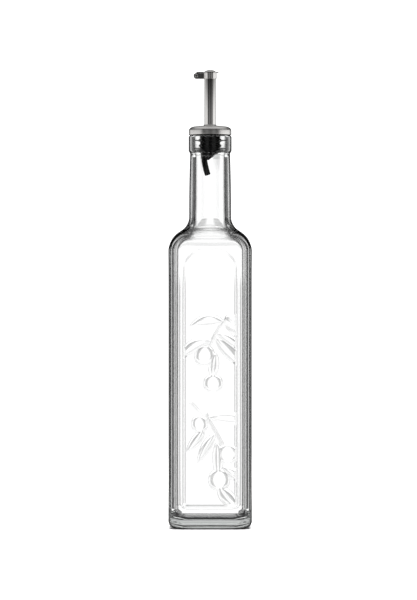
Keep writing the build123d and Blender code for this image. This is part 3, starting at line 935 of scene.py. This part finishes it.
def lid_outline():
    """Plan of the lid: hinge tongue, disc and thumb lip."""
    tongue_meets = math.degrees(math.asin(TONGUE_HALF_WIDTH / LID_RADIUS))
    lip_meets = math.degrees(math.asin(LIP_HALF_WIDTH / LID_RADIUS))
    lip_x = lid_high.x - LIP_CORNER
    half = [(HINGE_X, y) for y in (-0.4, -1.2, -2.0)]
    half += [(HINGE_X + 0.12, -2.28), (HINGE_X + 0.4, -TONGUE_HALF_WIDTH)]
    half += [(x, -TONGUE_HALF_WIDTH) for x in (-8.0, -6.8, -5.6, -4.9)]
    half += arc((0, 0), LID_RADIUS, -180 + tongue_meets, -lip_meets, 26)
    half += arc((lip_x, LIP_CORNER - LIP_HALF_WIDTH), LIP_CORNER, -90, 0, 8)
    half += [(lid_high.x, -0.3)]
    return half + [(x, -y) for x, y in reversed(half)]


def lid_rings():
    """The pressed sheet, from the top of its dome, over the edge, and back under to the recess."""
    outline = np.array(lid_outline())
    directions = outline / np.linalg.norm(outline, axis=1)[:, None]
    top = LID_BOTTOM + LID_SHEET
    rise = lid_high.z - top
    sphere = (DOME_RADIUS**2 + rise**2) / (2 * rise)

    def droop(x):
        return -0.3 * max((x - 4.4) / 1.5, 0) ** 2

    def round_ring(radius, z):
        return [(x * radius, y * radius, z) for x, y in directions]

    def edge_ring(share, inset, z):
        ring = []
        for point, direction in zip(outline, directions):
            x, y = (1 - share) * 4.6 * direction + share * (point - inset * direction)
            ring.append((x, y, z + droop(x)))
        return ring

    rings = [[(0, 0, lid_high.z)]]
    for radius in (0.7, 1.4, 2.1, 2.7, 3.2, 3.6, 3.9):
        rings.append(round_ring(radius, lid_high.z - sphere + math.sqrt(sphere**2 - radius**2)))
    rings += [round_ring(4.1, top + 0.06), round_ring(4.3, top + 0.015), round_ring(4.5, top)]
    rings += [edge_ring(0.5, 0.1, top), edge_ring(1, 0.14, top), edge_ring(1, 0.04, top - 0.04)]
    rings += [edge_ring(1, 0, top - 0.14), edge_ring(1, 0, LID_BOTTOM + 0.14)]
    rings += [edge_ring(1, 0.04, LID_BOTTOM + 0.04), edge_ring(1, 0.14, LID_BOTTOM)]
    rings += [edge_ring(0.5, 0.1, LID_BOTTOM), round_ring(4.5, LID_BOTTOM)]
    recess = pad_high.x + 0.05
    rings += [round_ring(recess + 0.15, LID_BOTTOM), round_ring(recess, LID_BOTTOM + 0.15)]
    rings += [round_ring(recess, pad_high.z - 0.1), round_ring(recess - 0.3, pad_high.z + 0.05)]
    rings += [round_ring(1.6, pad_high.z + 0.3), [(0, 0, pad_high.z + 0.4)]]
    return rings


def knuckle_solid():
    """The fold that runs down from the tongue and round the pin."""
    top = LID_BOTTOM + LID_SHEET / 2 - HINGE_Z
    meets = math.degrees(math.acos(KNUCKLE_WEB / KNUCKLE_RADIUS))
    outer = [(0.0, top)] + arc((0, 0), KNUCKLE_RADIUS, 90, 360 + meets, 40)
    outer += [(KNUCKLE_WEB, top * 0.7), (KNUCKLE_WEB, top), (KNUCKLE_WEB / 2, top)]
    bore = PIN_RADIUS + 0.05
    inner = []
    for x, z in outer:
        reach = math.hypot(x, z)
        inner.append((bore * x / reach, bore * z / reach))
    half = KNUCKLE_HALF_WIDTH
    loops = ((inner, -half), (outer, -half), (outer, half), (inner, half))
    rings = [[(HINGE_X + x, y, HINGE_Z + z) for x, z in loop] for loop, y in loops]
    return skin(rings)


lid = new_piece("steel_flap_lid", skin(lid_rings(), loop=False), "lid")
combine(lid, "UNION", knuckle_solid())
finish_piece(lid, steel_pressed, "flap_lid")


def pad_profile():
    """Soft disc with rounded edges."""
    radius = pad_high.x
    profile = [(0, pad_low.z)] + arc((radius - 0.25, pad_low.z + 0.25), 0.25, -90, 0, 5)
    profile += arc((radius - 0.25, pad_high.z - 0.25), 0.25, 0, 90, 5) + [(0, pad_high.z)]
    return profile


pad = new_piece("seal_pad", lathe(pad_profile(), loop=False), "lid")
finish_piece(pad, rubber, "lid_pad")


# ---------------------------------------------------------------- floor, light and camera

def floor_disc(radius, segments=96):
    """A plain pale floor."""
    mesh = bpy.data.meshes.new("floor")
    ring = [
        (radius * math.cos(2 * math.pi * i / segments), radius * math.sin(2 * math.pi * i / segments), 0)
        for i in range(segments)
    ]
    mesh.from_pydata(ring, [], [list(range(segments))])
    floor = bpy.data.objects.new("floor", mesh)
    bpy.context.scene.collection.objects.link(floor)
    material, _, shader, _ = node_material("pale_floor")
    shader.inputs["Base Color"].default_value = (0.95, 0.95, 0.95, 1)
    shader.inputs["Roughness"].default_value = 0.9
    shader.inputs["Specular IOR Level"].default_value = 0.0
    mesh.materials.append(material)
    floor.visible_transmission = False
    floor.visible_glossy = False


# What surfaces mirror round the horizon: degrees from the front towards the right, and brightness.
MIRRORED = [
    (-180, 0.60), (-178, 0.06), (-146, 0.05), (-136, 0.85), (-52, 0.85), (-44, 0.08), (-30, 0.05),
    (-20, 0.28), (-9, 0.28), (-5, 0.04), (7, 0.04), (12, 0.26), (28, 0.28), (34, 0.06), (48, 0.06),
    (58, 0.95), (90, 1.05), (130, 1.05), (142, 0.08), (178, 0.08), (180, 0.60),
]
# What the glass lets through, by degrees away from the front-to-back line.
SIDE_LIGHT = [
    (0, 1.40), (3, 1.40), (5, 1.28), (28, 1.25), (34, 0.60), (38, 0.05), (74, 0.04),
    (80, 0.90), (85, 1.40), (90, 1.40),
]
# A stripe at each side of the light behind the body shows the relief: share taken off, by the same degrees.
STRIPE = [(0, 0.0), (1.0, 0.0), (2.6, 0.42), (8, 0.42), (11, 0.0), (90, 0.0)]
# The stripe fades out between these heights on the sphere, so the neck stays white.
STRIPE_TOP = (0.002, 0.014)
# Share of what the glass lets through, by height on the sphere from -1 to 1.
BY_HEIGHT = [
    (-1.0, 0.04), (-0.62, 0.04), (-0.53, 1.0), (-0.185, 1.0), (-0.17, 0.62), (-0.14, 0.62), (-0.126, 1.0),
    (0.062, 1.0), (0.076, 0.80), (0.115, 0.80), (0.15, 1.0),
    (0.40, 0.95), (0.50, 0.60), (0.58, 0.3), (0.7, 0.05), (1.0, 0.05),
]
# Towards the front, light through the glass falls to this share over this range of the cosine.
FRONT_GAP = (0.30, 0.55)
FRONT_SHARE = 0.03
UNDER_RANGE = (-0.19, -0.13)      # light from below: full under the first height, none above the second
HORIZON_RANGE = (0.08, 0.22)      # the mirrored stripes fade upwards to the share below
HORIZON_SHARE = 0.12
OVERHEAD_RANGE = (0.45, 0.75)     # and a mirrored ceiling fades in
OVERHEAD_BRIGHT = 0.5
SEEN_BRIGHT = 1.4          # the white background; no table goes above it


def math_node(tree, operation, *values):
    """One step of arithmetic between sockets and numbers."""
    node = tree.nodes.new("ShaderNodeMath")
    node.operation = operation
    for socket, value in zip(node.inputs, values):
        if isinstance(value, (int, float)):
            socket.default_value = value
        else:
            tree.links.new(value, socket)
    return node.outputs["Value"]


def range_node(tree, value, from_low, from_high, to_low, to_high):
    """A smooth change from one range to another."""
    node = tree.nodes.new("ShaderNodeMapRange")
    node.interpolation_type = "SMOOTHSTEP"
    node.inputs["From Min"].default_value = from_low
    node.inputs["From Max"].default_value = from_high
    node.inputs["To Min"].default_value = to_low
    node.inputs["To Max"].default_value = to_high
    tree.links.new(value, node.inputs["Value"])
    return node.outputs["Result"]


def mix_node(tree, share, first, second):
    """First where share is 0, second where it is 1."""
    node = tree.nodes.new("ShaderNodeMix")
    sockets = (node.inputs["Factor"], node.inputs["A"], node.inputs["B"])
    for socket, value in zip(sockets, (share, first, second)):
        if isinstance(value, (int, float)):
            socket.default_value = value
        else:
            tree.links.new(value, socket)
    return node.outputs["Result"]


def table_node(tree, value, table):
    """Brightness by straight steps between the table's places, which run from 0 to 1."""
    ramp = tree.nodes.new("ShaderNodeValToRGB")
    fill_ramp(ramp, [(place, bright / SEEN_BRIGHT) for place, bright in table])
    tree.links.new(value, ramp.inputs["Fac"])
    return math_node(tree, "MULTIPLY", ramp.outputs["Color"], SEEN_BRIGHT)


def studio_world():
    """One pattern of light for what shines through the glass, another for mirroring, plain white as seen."""
    world = bpy.data.worlds.new("studio")
    bpy.context.scene.world = world
    world.use_nodes = True
    tree = world.node_tree
    background = tree.nodes["Background"]
    background.inputs["Color"].default_value = (1, 1, 1, 1)
    place = tree.nodes.new("ShaderNodeTexCoord")
    split = tree.nodes.new("ShaderNodeSeparateXYZ")
    tree.links.new(place.outputs["Generated"], split.inputs["Vector"])
    up = split.outputs["Z"]
    to_front = math_node(tree, "MULTIPLY", split.outputs["Y"], -1.0)
    turn = math_node(tree, "ARCTAN2", split.outputs["X"], to_front)
    # Through the glass: light from behind, both sides and below, next to none from the front.
    off_axis = math_node(tree, "DIVIDE", math_node(tree, "PINGPONG", turn, math.pi / 2), math.pi / 2)
    sides = table_node(tree, off_axis, [(degrees / 90, bright) for degrees, bright in SIDE_LIGHT])
    stripe = table_node(tree, off_axis, [(degrees / 90, share) for degrees, share in STRIPE])
    stripe = math_node(tree, "MULTIPLY", stripe, range_node(tree, up, *STRIPE_TOP, 1.0, 0.0))
    sides = math_node(tree, "MULTIPLY", sides, math_node(tree, "SUBTRACT", 1.0, stripe))
    sides = math_node(tree, "MULTIPLY", sides, range_node(tree, to_front, *FRONT_GAP, 1.0, FRONT_SHARE))
    under = range_node(tree, up, *UNDER_RANGE, SEEN_BRIGHT, 0.0)
    level = math_node(tree, "MULTIPLY", math_node(tree, "ADD", up, 1.0), 0.5)
    height_share = table_node(tree, level, [((height + 1) / 2, share) for height, share in BY_HEIGHT])
    through = math_node(tree, "MULTIPLY", math_node(tree, "MAXIMUM", sides, under), height_share)
    # Mirrored: pale to both sides, dark and dim stripes in front and behind, and a grey ceiling.
    round_place = math_node(tree, "ADD", math_node(tree, "DIVIDE", turn, 2 * math.pi), 0.5)
    stripes = [(degrees / 360 + 0.5, bright) for degrees, bright in MIRRORED]
    round_about = table_node(tree, round_place, stripes)
    horizon = range_node(tree, up, *HORIZON_RANGE, 1.0, HORIZON_SHARE)
    overhead = range_node(tree, up, *OVERHEAD_RANGE, 0.0, OVERHEAD_BRIGHT)
    mirrored = math_node(tree, "ADD", math_node(tree, "MULTIPLY", round_about, horizon), overhead)
    seen = tree.nodes.new("ShaderNodeLightPath")
    strength = mix_node(tree, seen.outputs["Is Glossy Ray"], through, mirrored)
    strength = mix_node(tree, seen.outputs["Is Transmission Ray"], strength, through)
    strength = mix_node(tree, seen.outputs["Is Camera Ray"], strength, SEEN_BRIGHT)
    tree.links.new(strength, background.inputs["Strength"])


def area_light(name, place, aim, size, watts):
    """A square soft light, aimed at a point, that no surface shows."""
    data = bpy.data.lights.new(name, "AREA")
    data.shape = "SQUARE"
    data.size = size
    data.energy = watts
    light = bpy.data.objects.new(name, data)
    bpy.context.scene.collection.objects.link(light)
    light.location = place
    light.rotation_euler = (Vector(aim) - Vector(place)).to_track_quat("-Z", "Y").to_euler()
    light.visible_camera = False
    light.visible_transmission = False
    light.visible_glossy = False


FLOOR_RADIUS = 1.0
LIGHT_HEIGHT = 1.6
LIGHT_SIZE = 1.6
LIGHT_WATTS = 75
CAMERA_DISTANCE = 2.2
VIEW_HEIGHT = 0.409        # of the plane through the bottle's axis that the picture takes in
VIEW_MIDDLE = Vector((-0.0011, 0.0, 0.1546))


def photo_camera():
    """Level camera on the front of the bottle, from far away."""
    data = bpy.data.cameras.new("camera")
    camera = bpy.data.objects.new("camera", data)
    bpy.context.scene.collection.objects.link(camera)
    camera.location = VIEW_MIDDLE + Vector((0, -CAMERA_DISTANCE, 0))
    camera.rotation_euler = (math.radians(90), 0, 0)
    data.sensor_fit = "VERTICAL"
    data.sensor_height = 24.0
    data.lens = data.sensor_height * CAMERA_DISTANCE / VIEW_HEIGHT
    data.clip_end = 50
    bpy.context.scene.camera = camera


floor_disc(FLOOR_RADIUS)
studio_world()
area_light("top_light", (0, 0, LIGHT_HEIGHT), (0, 0, 0), LIGHT_SIZE, LIGHT_WATTS)
photo_camera()

scene = bpy.context.scene
scene.view_settings.view_transform = "Standard"
scene.cycles.max_bounces = 24
scene.cycles.transmission_bounces = 20
scene.cycles.glossy_bounces = 8
